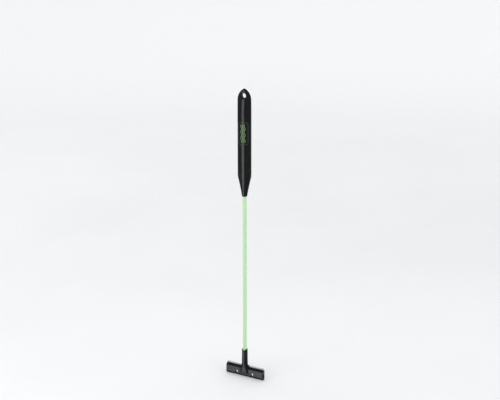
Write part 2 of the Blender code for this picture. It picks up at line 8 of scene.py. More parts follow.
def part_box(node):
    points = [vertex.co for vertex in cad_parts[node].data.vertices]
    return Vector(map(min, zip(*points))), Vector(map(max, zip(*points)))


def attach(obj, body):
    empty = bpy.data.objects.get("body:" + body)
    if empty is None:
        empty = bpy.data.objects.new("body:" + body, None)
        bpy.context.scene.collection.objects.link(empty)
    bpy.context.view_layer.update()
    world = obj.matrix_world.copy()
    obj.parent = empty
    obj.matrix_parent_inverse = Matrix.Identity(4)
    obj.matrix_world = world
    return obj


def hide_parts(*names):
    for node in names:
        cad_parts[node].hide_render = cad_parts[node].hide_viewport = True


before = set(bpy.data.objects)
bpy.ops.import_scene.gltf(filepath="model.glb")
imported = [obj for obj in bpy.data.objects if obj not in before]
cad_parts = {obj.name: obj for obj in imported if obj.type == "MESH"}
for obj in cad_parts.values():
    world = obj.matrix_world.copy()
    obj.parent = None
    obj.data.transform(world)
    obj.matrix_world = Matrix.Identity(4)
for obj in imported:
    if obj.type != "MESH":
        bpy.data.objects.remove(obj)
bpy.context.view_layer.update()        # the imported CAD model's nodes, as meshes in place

MM = 0.001

# ---- Places and sizes, from the frame ----

GRIP_LOW, GRIP_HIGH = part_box("grip_body")
COVER_LOW, COVER_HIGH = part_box("grip_back_cover")
SLEEVE_LOW, SLEEVE_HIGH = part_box("rod_sleeve")
FRONT_LOW, FRONT_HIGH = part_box("head_front_jaw")
REAR_LOW, REAR_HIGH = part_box("head_rear_jaw")
BLADE_LOW, BLADE_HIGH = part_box("blade")
PIN_LOW, PIN_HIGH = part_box("head_cross_pin")
HEAD_Z = FRONT_LOW.z  # the head's lower edge, from which heights on the tool are measured
SEAM = 0.3 * MM  # the gap round the back cover, between the jaws and round the blade
OVERSHOOT = 1.0 * MM  # how far a cutter reaches past the face that it cuts

# Grip: faceted, with a pointed arch on top and a tapering neck, thinner towards its tip
GRIP_HALF_WIDTH = GRIP_HIGH.x
INK_LIFT = 0.03 * MM  # the printed mark's height, which ends level with the CAD's front
GRIP_HALF_DEPTH = GRIP_HIGH.y - INK_LIFT
GRIP_SIDE_HALF = 2.0 * MM  # half the height of the flat side
GRIP_BEVEL = 1.8 * MM
GRIP_BEVEL_RISE = 1.4 * MM
GRIP_STRIP_HALF = 2.1 * MM  # half the width of the flat strip along the middle
NECK_HALF = 3.75 * MM
NECK_CURVE = 1.2
NECK_BLEND = 0.12
NECK_STRIP_SHARE = 0.8  # the strip's width at the neck's end, as a share of an octagon's side
NECK_END_SCALE = 0.91  # the neck's end is chamfered down to this size
NECK_END_RISE = 0.6 * MM
SHOULDER_Z = GRIP_LOW.z + 30.5 * MM
SHOULDER_REACH = 6.0 * MM  # how far above the shoulder the neck's close sections go on
ARCH_Z = HEAD_Z + 435.2 * MM
ARCH_RADIUS = 16.9 * MM
TIP_RADIUS = 2.5 * MM
ARCH_OFFSET = ARCH_RADIUS - GRIP_HALF_WIDTH
TIP_CENTRE_Z = ARCH_Z + math.sqrt((ARCH_RADIUS - TIP_RADIUS) ** 2 - ARCH_OFFSET**2)
ARCH_TURN = math.atan2(TIP_CENTRE_Z - ARCH_Z, ARCH_OFFSET)
TIP_BEVEL_SHARE = 0.6  # towards the tip, where the bevel starts, as a share of the half width
TIP_STRIP_SHARE = 0.5  # and where the strip ends, as a share of that
TIP_SIDE_GAP = 0.1 * MM  # the least width that the bevel keeps at the tip
ROOF_SLOPE = (GRIP_HALF_DEPTH - GRIP_SIDE_HALF - GRIP_BEVEL_RISE) / (
    GRIP_HALF_WIDTH - GRIP_BEVEL - GRIP_STRIP_HALF
)
ARCH_BEVEL_SLOPE = (GRIP_HALF_DEPTH - GRIP_SIDE_HALF) / GRIP_BEVEL
THIN_FROM_Z = HEAD_Z + 410 * MM  # above here the grip thins out towards its tip
THIN_TIP_SHARE = 0.4
HANG_HOLE_RADIUS = 3.5 * MM
HANG_HOLE_STRAIGHT = 5.0 * MM  # the length of the hole between its two countersinks
HANG_HOLE_EASE = 0.7 * MM
HANG_HOLE_STRETCH = 1.5  # how much longer than its ease the walls' curve runs
EDGE_RADIUS = 0.5 * MM
PARTING_HALF = 0.14 * MM  # the fine groove that the mould leaves along the grip's sides
PARTING_DEPTH = 0.12 * MM
COVER_CORNER = 3.0 * MM
COVER_EDGE_RADIUS = 0.3 * MM
COVER_GATES = (0.2, 0.65)  # the gate marks' places, as shares of the cover's length

# Printed mark: three waves in a rounded frame, on the grip's front
MOTIF_LOW_Z = HEAD_Z + 370.6 * MM
MOTIF_HIGH_Z = HEAD_Z + 402.5 * MM
MOTIF_HALF = 7.6 * MM
MOTIF_CORNER = 2.6 * MM
MOTIF_MARGIN = 2.8 * MM  # between the frame's ends and the waves' ends
MOTIF_LINE = 0.45 * MM
WAVE_LINE = 0.7 * MM
WAVE_SPACING = 2.8 * MM
WAVE_SWING = 0.85 * MM
WAVE_TURNS = 3

# Rod: a sleeve in two sockets, with a pin across it in each
ROD_RADIUS = SLEEVE_HIGH.x
SLEEVE_WALL = 0.7 * MM
SOCKET_RADIUS = ROD_RADIUS + 0.15 * MM
SOCKET_SPARE = 2 * MM  # how much deeper than the sleeve a socket is
PIN_SPARE = 0.2 * MM  # how much deeper than its pin a pin's hole is
CROSS_PINS = {"grip_cross_pin": "grip_pin_ground", "head_cross_pin": "head_pin_ground"}

# Jaws: flat faces between long bevels
FACE_BOTTOM_Z = HEAD_Z + 3.6 * MM
FACE_TOP_Z = HEAD_Z + 13.3 * MM
LOWER_BEVEL_Z = FACE_BOTTOM_Z - 1.2 * MM  # where the bevel below the face turns steeper
JAW_TOP_Z = REAR_HIGH.z
JAW_FRONT_Y = -2.0 * MM
JAW_SPLIT_Y = 1.2 * MM
JAW_INNER_Y = JAW_SPLIT_Y + SEAM
JAW_BACK_Y = REAR_HIGH.y
LOWER_BEVEL_TURN_Y = JAW_FRONT_Y + 0.35 * MM
LOWER_BEVEL_END_Y = JAW_FRONT_Y + 1.4 * MM
UPPER_BEVEL_END_Y = JAW_FRONT_Y + 2.6 * MM
REAR_BEVEL_Z = FACE_TOP_Z + MM
REAR_UPPER_BEVEL = 0.8 * MM
REAR_LOWER_BEVEL = 1.2 * MM
FRONT_EDGE_RADIUS = 0.4 * MM
REAR_EDGE_RADIUS = 0.35 * MM
JAW_END_EASE = 0.15 * MM
SLOT_X = 13.45 * MM
SLOT_Z = HEAD_Z + 5.5 * MM
SLOT_WIDTH = 3.5 * MM
SLOT_HEIGHT = 5.5 * MM
SLOT_RIM = 0.5 * MM
WINDOW_HALF = 5.2 * MM  # the rear jaw's arched gap behind a slot
WINDOW_TOP_Z = HEAD_Z + 8.6 * MM
WINDOW_LIP = 0.35 * MM
WINDOW_LIP_TURN = 0.1 * MM
NOTCH_Z = HEAD_Z + 8.5 * MM  # the thumb notch in the front jaw's right end
NOTCH_DEPTH = 1.1 * MM
NOTCH_HALF = 4.0 * MM
GATE_X = 24.5 * MM  # the moulding gates' marks on the rear jaw's back
GATE_Z = (FACE_BOTTOM_Z + FACE_TOP_Z) / 2 + MM

# Socket stem: a raised wedge on the jaw's face, a flared throat, a neck and a rim
STEM_SLOPE = 0.8  # how fast the stem's sides fall back from its front facet
STEM_BACK_SHARE = 0.42  # the flat part of the stem's back, as a share of its width
STEM_ROUNDING = 0.55 * MM
SHOULDER_STEP_Z = HEAD_Z + 20.1 * MM  # the stem's back is stepped here, over the blade's edge
SHOULDER_STEP_REACH = 9 * MM  # how far out and back the step is cut, well past the stem
WEDGE_BOTTOM_Z = HEAD_Z + 5.3 * MM
WEDGE_CHAMFER_Z = HEAD_Z + 7.5 * MM  # the wedge's front slopes back to the face from here down
WEDGE_HALF = 7.5 * MM
WEDGE_FACET = 4.8 * MM
WEDGE_DROP = 0.9 * MM  # how far the wedge's front lies behind the stem's
WEDGE_SLOPE = 0.55
WEDGE_FOOT_FACET = 7.3 * MM
WEDGE_FOOT_DEPTH = 0.1 * MM  # how deep the chamfer ends below the jaw's face
WEDGE_KNEE_Z = HEAD_Z + 12.8 * MM  # the wedge's front facet narrows faster from here up
WEDGE_KNEE_HALF = 6.6 * MM
WEDGE_KNEE_FACET = 4.0 * MM
WEDGE_KNEE_DROP = 0.45 * MM
WEDGE_KNEE_SLOPE = 0.68
THROAT_Z = HEAD_Z + 18 * MM
THROAT_HALF = 5.7 * MM
THROAT_FACET = 2.0 * MM
THROAT_FLARE = 2.4  # the power by which the stem widens down to its throat
STEM_NECK_Z = HEAD_Z + 25 * MM
STEM_NECK_HALF = 4.4 * MM
STEM_NECK_FACET = 1.4 * MM
RIM_HALF = 3.95 * MM
RIM_EASE_RISE = 0.5 * MM
SOCKET_DIP = 1.8 * MM
SOCKET_DIP_HALF = 2.4 * MM

# Blade: a flat strip, ground on both sides and honed along its upper edge
GRIND_DEPTH = 1.4 * MM
HONE_DEPTH = 0.2 * MM
HONE_HALF = 0.07 * MM
CUTTING_EDGE_HALF = 0.02 * MM


# ---- Mesh tools ----

ROUNDING_LIMIT = 0.45  # the share of each side that a rounded corner may take up
WELD = 0.002 * MM  # points closer than this become one
CRISP_ANGLE = math.radians(28)  # a face that turns by more than this keeps a crisp edge


def loft(rings, wrap=False, lid=True):
    """A body through rings of equally many points: capped, with or without a lid, or wrapped."""
    bm = bmesh.new()
    loops = [[bm.verts.new(point) for point in ring] for ring in rings]
    pairs = list(zip(loops, loops[1:]))
    if wrap:
        pairs.append((loops[-1], loops[0]))
    for low, high in pairs:
        for i in range(len(low)):
            j = (i + 1) % len(low)
            bm.faces.new((low[i], low[j], high[j], high[i]))
    if not wrap:
        bm.faces.new(reversed(loops[0]))
        if lid:
            bm.faces.new(loops[-1])
    return bm


def rounded(corners, radius, steps=5):
    """The outline through the corners, with each corner turned into a short curve."""
    points = []
    for i, corner in enumerate(corners):
        here = Vector(corner)
        before = Vector(corners[i - 1]) - here
        after = Vector(corners[(i + 1) % len(corners)]) - here
        reach = min(radius, ROUNDING_LIMIT * before.length, ROUNDING_LIMIT * after.length)
        start = here + before.normalized() * reach
        end = here + after.normalized() * reach
        for step in range(steps + 1):
            t = step / steps
            points.append(start * (1 - t) ** 2 + here * 2 * t * (1 - t) + end * t**2)
    return points


def inset(outline, distance):
    """The outline moved inwards by a distance."""
    area = sum(a.x * b.y - b.x * a.y for a, b in zip(outline, outline[1:] + outline[:1]))
    inward = math.copysign(distance, area)
    moved = []
    for i, point in enumerate(outline):
        along = (outline[(i + 1) % len(outline)] - outline[i - 1]).normalized()
        moved.append(point + Vector((-along.y, along.x)) * inward)
    return moved


def mirrored(half):
    """The whole outline of a section from its right half, front to back."""
    return half + [(-x, y) for x, y in reversed(half)]


def at_height(outline, z):
    return [Vector((x, y, z)) for x, y in outline]


def eased_ends(outline, low, high, ease, place, steps=4):
    """Rings along a straight body whose two ends are rounded off."""
    rings = []
    for i in range(steps + 1):
        angle = math.pi / 2 * i / steps
        shrunk = inset(outline, ease * (1 - math.sin(angle)))
        rings.append((low + ease * (1 - math.cos(angle)), shrunk))
    rings += [(low + high - along, shrunk) for along, shrunk in reversed(rings)]
    return [[place(along, a, b) for a, b in shrunk] for along, shrunk in rings]


def along_x(outline, left, right, ease):
    """A bar from left to right whose section is an outline of (y, z) pairs."""
    return loft(eased_ends(outline, left, right, ease, lambda x, y, z: Vector((x, y, z))))


def circle(radius, z, sides):
    angles = [2 * math.pi * i / sides for i in range(sides)]
    return [Vector((radius * math.cos(a), radius * math.sin(a), z)) for a in angles]


def turned(profile, sides=64, wrap=False):
    """A round body about Z from (radius, height) pairs."""
    return loft([circle(radius, z, sides) for radius, z in profile], wrap)


def turned_along_y(profile, x, z, sides=64, wrap=False):
    """A round body about an axis parallel to Y, from (radius, y) pairs."""
    bm = turned(profile, sides, wrap)
    bm.transform(Matrix.Translation((x, 0, z)) @ Matrix.Rotation(math.radians(-90), 4, "X"))
    return bm


def gate_mark(x, z, face_y):
    """The small ring-shaped dimple that a moulding gate leaves in a face towards +Y."""
    depth, nub, edge, above = 0.18 * MM, 0.32 * MM, 0.95 * MM, 1.0 * MM
    profile = [(nub, face_y - depth), (edge, face_y - depth), (edge + depth, face_y)]
    profile += [(edge + depth, face_y + above), (nub, face_y + above)]
    return turned_along_y(profile, x, z, sides=40, wrap=True)


def to_object(name, bm):
    bmesh.ops.recalc_face_normals(bm, faces=bm.faces)
    mesh = bpy.data.meshes.new(name)
    bm.to_mesh(mesh)
    bm.free()
    obj = bpy.data.objects.new(name, mesh)
    bpy.context.scene.collection.objects.link(obj)
    return obj


def shaped(obj, cuts=(), joins=()):
    """Joins and cuts the object, then leaves one clean mesh with normals that keep flats flat."""
    tools = []
    for operation, group in (("UNION", joins), ("DIFFERENCE", cuts)):
        for bm in group:
            tool = to_object("tool", bm)
            tools.append(tool)
            modifier = obj.modifiers.new(operation.lower(), "BOOLEAN")
            modifier.operation = operation
            modifier.solver = "EXACT"
            modifier.object = tool
    apply_modifiers(obj)
    for tool in tools:
        bpy.data.objects.remove(tool, do_unlink=True)
    bm = bmesh.new()
    bm.from_mesh(obj.data)
    bmesh.ops.remove_doubles(bm, verts=bm.verts, dist=WELD)
    bmesh.ops.dissolve_degenerate(bm, edges=bm.edges, dist=WELD)
    bm.to_mesh(obj.data)
    bm.free()
    obj.data.shade_smooth()
    obj.data.set_sharp_from_angle(angle=CRISP_ANGLE)
    normals = obj.modifiers.new("flats stay flat", "WEIGHTED_NORMAL")
    normals.keep_sharp = True
    normals.weight = 100
    apply_modifiers(obj)
    return obj


def apply_modifiers(obj):
    graph = bpy.context.evaluated_depsgraph_get()
    graph.update()
    made = bpy.data.meshes.new_from_object(obj.evaluated_get(graph), depsgraph=graph)
    obj.modifiers.clear()
    obj.data = made


def piece(obj, material, body, replaced=None):
    """Gives a piece its finish and its place on a CAD body."""
    obj.data.materials.clear()
    obj.data.materials.append(material)
    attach(obj, body)
    if replaced:
        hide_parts(replaced)


# ---- Materials ----

NOISE_RANGE = (0.3, 0.7)  # where nearly all of a noise's values lie


class Nodes:
    """A short way to write a material's node tree."""

    def __init__(self, name):
        self.material = bpy.data.materials.new(name)
        self.material.use_nodes = True
        self.tree = self.material.node_tree
        self.shader = self.tree.nodes["Principled BSDF"]

    def add(self, kind, inputs=(), **settings):
        node = self.tree.nodes.new(kind)
        for key, value in settings.items():
            setattr(node, key, value)
        for key, value in dict(inputs).items():
            self.feed(node.inputs[key], value)
        return node

    def feed(self, socket, value):
        if isinstance(value, bpy.types.NodeSocket):
            self.tree.links.new(value, socket)
        else:
            socket.default_value = value

    def set(self, **inputs):
        for key, value in inputs.items():
            self.feed(self.shader.inputs[key.replace("_", " ")], value)

    def place(self):
        """Object coordinates in metres."""
        return self.add("ShaderNodeTexCoord").outputs["Object"]

    def split(self, vector):
        """The X, Y and Z of a vector."""
        return self.add("ShaderNodeSeparateXYZ", {"Vector": vector}).outputs

    def noise(self, size, detail=4.0, roughness=0.55, stretch=(1, 1, 1)):
        """Noise from 0 to 1 with features of this size in metres, longer where stretch is small."""
        mapping = self.add("ShaderNodeMapping", {"Vector": self.place(), "Scale": stretch})
        inputs = {
            "Vector": mapping.outputs["Vector"],
            "Scale": 1 / size,
            "Detail": detail,
            "Roughness": roughness,
        }
        return self.add("ShaderNodeTexNoise", inputs).outputs["Fac"]

    def spread(self, value, low, high, new_low=0.0, new_high=1.0):
        """The value's range low to high, mapped to a new range and clamped."""
        inputs = {
            "Value": value,
            "From Min": low,
            "From Max": high,
            "To Min": new_low,
            "To Max": new_high,
        }
        return self.add("ShaderNodeMapRange", inputs, clamp=True).outputs["Result"]

    def mix(self, share, a, b):
        """Colour a where share is 0, and b where it is 1."""
        node = self.add("ShaderNodeMix", data_type="RGBA")
        for socket, value in zip([node.inputs[0], node.inputs[6], node.inputs[7]], [share, a, b]):
            self.feed(socket, value)
        return node.outputs[2]

    def math(self, operation, a, b=0.0):
        return self.add("ShaderNodeMath", {0: a, 1: b}, operation=operation).outputs[0]

    def tint(self, base, mask, strength, colour):
        """The base colour, taken by this strength towards another where the mask is 1."""
        return self.mix(self.math("MULTIPLY", mask, strength), base, colour)

    def raised(self, value, mask, amount):
        """The value, with this amount added where the mask is 1."""
        return self.math("ADD", value, self.math("MULTIPLY", mask, amount))

    def bump(self, height, distance, strength=1.0, under=None):
        inputs = {"Height": height, "Distance": distance, "Strength": strength}
        if under is not None:
            inputs["Normal"] = under
        return self.add("ShaderNodeBump", inputs).outputs["Normal"]


def rgb(red, green, blue, share=1.0):
    """A colour with full alpha, made darker or lighter by a share."""
    return (red * share, green * share, blue * share, 1.0)


def crown_painted_light_mask(nodes):
    """1 on the crown above the hanging hole, which narrows towards the grip's tip: painted light
    from above, which makes this upward facet paler and more grained.
    """
    top_z, low_half, top_half = 8 * MM, 3.4 * MM, 0.9 * MM
    side_fade, foot_fade = 0.12 * MM, 0.1 * MM
    place = nodes.split(nodes.place())
    half = nodes.spread(place["Z"], HANG_HOLE_RADIUS, top_z, low_half, top_half)
    inside = nodes.math("SUBTRACT", half, nodes.math("ABSOLUTE", place["X"]))
    above = nodes.spread(place["Z"], HANG_HOLE_RADIUS, HANG_HOLE_RADIUS + foot_fade)
    return nodes.math("MULTIPLY", nodes.spread(inside, 0.0, side_fade), above)


def black_plastic(name, flat_sheen_and_wear_colour, colour, roughness):
    """Black moulding: grained, with a painted sheen that makes the flats facing front or back
    greyer than the smoother, darker bevels, and worn edges.
    """
    nodes = Nodes(name)
    geometry = nodes.add("ShaderNodeNewGeometry").outputs
    normal = nodes.split(geometry["Normal"])
    # painted sheen: flats facing straight to the front or back, not tilted sideways, get a paler
    # colour that stands in for light reflected from them
    facing = nodes.spread(nodes.math("ABSOLUTE", normal["Y"]), 0.965, 0.985)
    level = nodes.spread(nodes.math("ABSOLUTE", normal["X"]), 0.04, 0.09, 1.0, 0.0)
    flat = nodes.math("MULTIPLY", facing, nodes.math("MAXIMUM", level, crown_painted_light_mask(nodes)))
    mottle = nodes.spread(nodes.noise(7 * MM, 6, 0.65), 0.32, 0.68)
    speck = nodes.spread(nodes.noise(0.5 * MM, 2), 0.35, 0.65)
    dark = nodes.mix(mottle, rgb(*colour, 0.8), rgb(*colour, 1.3))
    # the painted sheen's grey on those flats, with specks; the same grey also tints the worn edges
    # and scratches below
    pale = nodes.mix(mottle, rgb(*flat_sheen_and_wear_colour, 0.74), rgb(*flat_sheen_and_wear_colour, 1.22))
    pale = nodes.tint(pale, speck, 0.4, rgb(*flat_sheen_and_wear_colour, 1.45))
    base = nodes.mix(flat, dark, pale)
    patchy = nodes.spread(nodes.noise(2.5 * MM, 4), 0.35, 0.7)
    edge = nodes.spread(geometry["Pointiness"], 0.52, 0.6)
    worn = nodes.math("MULTIPLY", edge, patchy)
    base = nodes.tint(base, worn, 0.4, rgb(*flat_sheen_and_wear_colour, 1.1))
    scratches = nodes.spread(nodes.noise(0.35 * MM, 2, stretch=(1.0, 1.0, 0.02)), 0.67, 0.76)
    base = nodes.tint(base, scratches, 0.12, rgb(*flat_sheen_and_wear_colour, 1.1))
    handled = nodes.noise(16 * MM, 3)
    rough = nodes.spread(handled, *NOISE_RANGE, roughness - 0.05, roughness + 0.06)
    rough = nodes.raised(rough, flat, 0.12)
    rough = nodes.raised(rough, scratches, 0.08)
    grain_height = nodes.spread(flat, 0.0, 1.0, 0.3, 1.0)
    grain = nodes.math("MULTIPLY", nodes.noise(0.28 * MM, 3, 0.6), grain_height)
    fine = nodes.bump(grain, 0.04 * MM, 0.8)
    wavy = nodes.bump(nodes.noise(14 * MM, 2), 0.12 * MM, 0.25, fine)
    nodes.set(Base_Color=base, Roughness=rough, Normal=wavy, Specular_IOR_Level=0.09)
    return nodes.material


def mint_plastic(name, colour):
    """Drawn plastic sleeve: smooth, slightly translucent, with faint lines along the rod."""
    nodes = Nodes(name)
    streak = nodes.spread(nodes.noise(1.6 * MM, 3, stretch=(1.0, 1.0, 0.01)), *NOISE_RANGE)
    cloud = nodes.spread(nodes.noise(22 * MM, 4), *NOISE_RANGE)
    base = nodes.mix(streak, rgb(*colour, 0.93), rgb(*colour, 1.05))
    base = nodes.tint(base, cloud, 0.35, rgb(*colour, 0.86))
    rubbed = nodes.spread(nodes.noise(0.6 * MM, 3, stretch=(1.0, 1.0, 0.05)), 0.62, 0.75)
    rough = nodes.raised(nodes.spread(cloud, 0.0, 1.0, 0.24, 0.34), rubbed, 0.2)
    lines = nodes.bump(nodes.noise(0.5 * MM, 2, stretch=(1.0, 1.0, 0.01)), 0.02 * MM, 0.5)
    skin = nodes.bump(nodes.noise(0.25 * MM, 3), 0.008 * MM, 0.5, lines)
    nodes.set(
        Base_Color=base,
        Roughness=rough,
        Normal=skin,
        Subsurface_Weight=0.25,
        Subsurface_Radius=(0.5, 1.0, 0.5),
        Subsurface_Scale=1.2 * MM,
        Coat_Weight=0.15,
        Coat_Roughness=0.2,
    )
    return nodes.material


def steel(name, colour, roughness, stretch):
    """Bare steel with fine lines along one direction and a few dull spots."""
    nodes = Nodes(name)
    lines = nodes.noise(0.12 * MM, 3, 0.6, stretch)
    stain = nodes.spread(nodes.noise(5 * MM, 5), 0.52, 0.72)
    base = nodes.mix(nodes.spread(lines, *NOISE_RANGE), rgb(*colour, 0.86), rgb(*colour, 1.06))
    base = nodes.tint(base, stain, 0.4, rgb(*colour, 0.68))
    rough = nodes.spread(lines, *NOISE_RANGE, roughness - 0.06, roughness + 0.08)
    rough = nodes.raised(rough, stain, 0.15)
    brushed = nodes.bump(lines, 0.006 * MM, 0.6)
    nodes.set(Base_Color=base, Roughness=rough, Normal=brushed, Metallic=1.0)
    return nodes.material


def blade_steel(name, grind_z):
    """Rolled strip, lines along its length, with a brighter ground edge lined across."""
    nodes = Nodes(name)
    colour, edge_colour, blend = (0.50, 0.50, 0.495), (0.66, 0.66, 0.66), 0.05 * MM
    rolled = nodes.noise(0.10 * MM, 3, 0.6, (0.02, 1.0, 1.0))
    ground = nodes.noise(0.06 * MM, 3, 0.6, (1.0, 1.0, 0.05))
    height = nodes.split(nodes.place())["Z"]
    on_edge = nodes.spread(height, grind_z - blend, grind_z + blend)
    stain = nodes.spread(nodes.noise(4 * MM, 5), 0.54, 0.74)
    lines = nodes.add("ShaderNodeMix", {0: on_edge, 2: rolled, 3: ground}).outputs[0]
    base = nodes.mix(nodes.spread(lines, *NOISE_RANGE), rgb(*colour, 0.85), rgb(*colour, 1.08))
    base = nodes.tint(base, on_edge, 0.5, rgb(*edge_colour))
    base = nodes.tint(base, stain, 0.3, rgb(*colour, 0.7))
    rough = nodes.raised(nodes.spread(lines, *NOISE_RANGE, 0.26, 0.4), stain, 0.12)
    nodes.set(
        Base_Color=base,
        Roughness=rough,
        Normal=nodes.bump(lines, 0.005 * MM, 0.6),
        Metallic=1.0,
    )
    return nodes.material


def printed_ink(name, colour):
    """Pad-printed ink, slightly broken up where fingers rub it."""
    nodes = Nodes(name)
    rubbed = nodes.spread(nodes.noise(0.9 * MM, 5), 0.55, 0.72)
    cloud = nodes.spread(nodes.noise(4 * MM, 3), *NOISE_RANGE)
    base = nodes.mix(cloud, rgb(*colour, 0.88), rgb(*colour, 1.1))
    base = nodes.tint(base, rubbed, 0.6, rgb(*colour, 0.35))
    rough = nodes.spread(cloud, 0.0, 1.0, 0.38, 0.5)
    nodes.set(Base_Color=base, Roughness=rough, Normal=nodes.bump(cloud, 0.01 * MM, 0.4))
    return nodes.material


def rubber(name):
    """Black rubber with a pale, dry bloom in patches."""
    nodes = Nodes(name)
    colour, bloom_colour = (0.025, 0.025, 0.026), (0.055, 0.055, 0.056)
    bloom = nodes.spread(nodes.noise(1.5 * MM, 5), 0.4, 0.7)
    base = nodes.mix(bloom, rgb(*colour), rgb(*bloom_colour))
    rough = nodes.spread(bloom, 0.0, 1.0, 0.72, 0.85)
    nodes.set(Base_Color=base, Roughness=rough, Normal=nodes.bump(bloom, 0.02 * MM, 0.4))
    return nodes.material


# ---- Grip ----


def soft_min(a, b, blend):
    """The smaller of two values, with the change between them rounded off."""
    near = max(blend - abs(a - b), 0.0)
    return min(a, b) - near * near / (4 * blend)


def thinned(z):
    """The share of its full depth that the grip keeps at this height."""
    rise = max(z - THIN_FROM_Z, 0.0) / (GRIP_HIGH.z - THIN_FROM_Z)
    return 1 - (1 - THIN_TIP_SHARE) * rise**2


def roof(x):
    """The depth of the grip's shallow roof at a distance from the middle."""
    return GRIP_HALF_DEPTH - ROOF_SLOPE * max(abs(x) - GRIP_STRIP_HALF, 0.0)


def arch_half_width(z):
    if z - ARCH_Z > ARCH_RADIUS * math.sin(ARCH_TURN):
        return math.sqrt(TIP_RADIUS**2 - (z - TIP_CENTRE_Z) ** 2)
    return math.sqrt(ARCH_RADIUS**2 - (z - ARCH_Z) ** 2) - ARCH_OFFSET


def inside_arch(x, z):
    """How far a point lies inside the grip's outline, where that is an arch."""
    if math.atan2(z - ARCH_Z, x + ARCH_OFFSET) > ARCH_TURN:
        return TIP_RADIUS - math.hypot(x, z - TIP_CENTRE_Z)
    return ARCH_RADIUS - math.hypot(x + ARCH_OFFSET, z - ARCH_Z)


def grip_depth(x, z):
    return min(roof(x), GRIP_SIDE_HALF + max(inside_arch(x, z), 0.0) * ARCH_BEVEL_SLOPE)


def grip_corners(z):
    """The three corners of a quarter section: side, bevel and middle strip."""
    if z > ARCH_Z:
        width = arch_half_width(z)
        inner = math.sqrt(max((ARCH_RADIUS - GRIP_BEVEL) ** 2 - (z - ARCH_Z) ** 2, 0.0))
        bevel_x = max(inner - ARCH_OFFSET, TIP_BEVEL_SHARE * width)
        bevel_x = min(bevel_x, width - TIP_SIDE_GAP)
        strip_x = min(GRIP_STRIP_HALF, TIP_STRIP_SHARE * bevel_x)
        return [
            (width, GRIP_SIDE_HALF),
            (bevel_x, grip_depth(bevel_x, z)),
            (strip_x, grip_depth(strip_x, z)),
        ]
    full = [
        (GRIP_HALF_WIDTH, GRIP_SIDE_HALF),
        (GRIP_HALF_WIDTH - GRIP_BEVEL, GRIP_SIDE_HALF + GRIP_BEVEL_RISE),
        (GRIP_STRIP_HALF, GRIP_HALF_DEPTH),
    ]
    eighth = math.tan(math.pi / 8) * NECK_HALF
    diagonal = (NECK_HALF + eighth) / 2
    neck = [(NECK_HALF, eighth), (diagonal, diagonal), (NECK_STRIP_SHARE * eighth, NECK_HALF)]
    rise = max(z - GRIP_LOW.z, 0.0) / (SHOULDER_Z - GRIP_LOW.z)
    share = soft_min(1.0, rise**NECK_CURVE, NECK_BLEND)
    return [Vector(a).lerp(Vector(b), share) for a, b in zip(neck, full)]


def grip_outline(z):
    quarter = [(x, y * thinned(z)) for x, y in grip_corners(z)]
    side_x = quarter[0][0]
    parting = [(side_x, -PARTING_HALF), (side_x - PARTING_DEPTH, 0.0), (side_x, PARTING_HALF)]
    right = [(x, -y) for x, y in reversed(quarter)] + parting + quarter
    return rounded(mirrored(right), EDGE_RADIUS)


def grip_heights(neck_steps=28, thin_steps=16, arch_steps=26, tip_steps=9):
    """Heights of the grip's sections, close together where its outline curves."""
    start = GRIP_LOW.z + NECK_END_RISE
    reach = SHOULDER_Z + SHOULDER_REACH - start
    heights = [start + reach * i / neck_steps for i in range(neck_steps + 1)]
    heights += [THIN_FROM_Z + (ARCH_Z - THIN_FROM_Z) * i / thin_steps for i in range(thin_steps)]
    for i in range(arch_steps + 1):
        heights.append(ARCH_Z + ARCH_RADIUS * math.sin(ARCH_TURN * i / arch_steps))
    for i in range(1, tip_steps):
        angle = ARCH_TURN + (math.pi / 2 - ARCH_TURN) * i / tip_steps
        heights.append(min(TIP_CENTRE_Z + TIP_RADIUS * math.sin(angle), GRIP_HIGH.z))
    return heights


def hang_hole(steps=5):
    """The hanging hole, whose walls curve into the countersink at both faces."""
    ease_from = HANG_HOLE_STRAIGHT / 2 - HANG_HOLE_EASE
    half = [(HANG_HOLE_RADIUS, ease_from)]
    for i in range(1, steps + 1):
        t = i / steps
        radius = HANG_HOLE_RADIUS + HANG_HOLE_EASE * t * t / 2
        half.append((radius, ease_from + HANG_HOLE_EASE * HANG_HOLE_STRETCH * t))
    reach = GRIP_HALF_DEPTH - half[-1][1]
    half.append((half[-1][0] + reach, GRIP_HALF_DEPTH))
    profile = [(radius, -y) for radius, y in reversed(half)] + half
    return turned_along_y(profile, 0, 0)


def cover_heights(steps=10):
    """Heights of the cover's sections, close together round its corners."""
    corner = [COVER_CORNER * (1 - math.cos(math.pi / 2 * i / steps)) for i in range(steps + 1)]
    low = [COVER_LOW.z + c for c in corner]
    high = [COVER_HIGH.z - c for c in reversed(corner)]
    reach = high[0] - THIN_FROM_Z
    return low + [THIN_FROM_Z + reach * i / steps for i in range(steps)] + high


def cover_half_width(z):
    """Half the cover's width at a height, less towards its rounded corners."""
    end = min(z - COVER_LOW.z, COVER_HIGH.z - z)
    into_corner = min(max(COVER_CORNER - end, 0.0), COVER_CORNER)
    return COVER_HIGH.x - COVER_CORNER + math.sqrt(COVER_CORNER**2 - into_corner**2)


def cover_bed():
    """The recess in the grip's back that the cover fills."""
    rings = []
    middle = (COVER_LOW.z + COVER_HIGH.z) / 2
    floor, above = COVER_LOW.y - SEAM, GRIP_HALF_DEPTH + 2 * OVERSHOOT
    for z in cover_heights():
        half = cover_half_width(z) + SEAM
        outline = [(half, floor), (half, above), (-half, above), (-half, floor)]
        rings.append(at_height(outline, z + math.copysign(SEAM, z - middle)))
    return loft(rings)


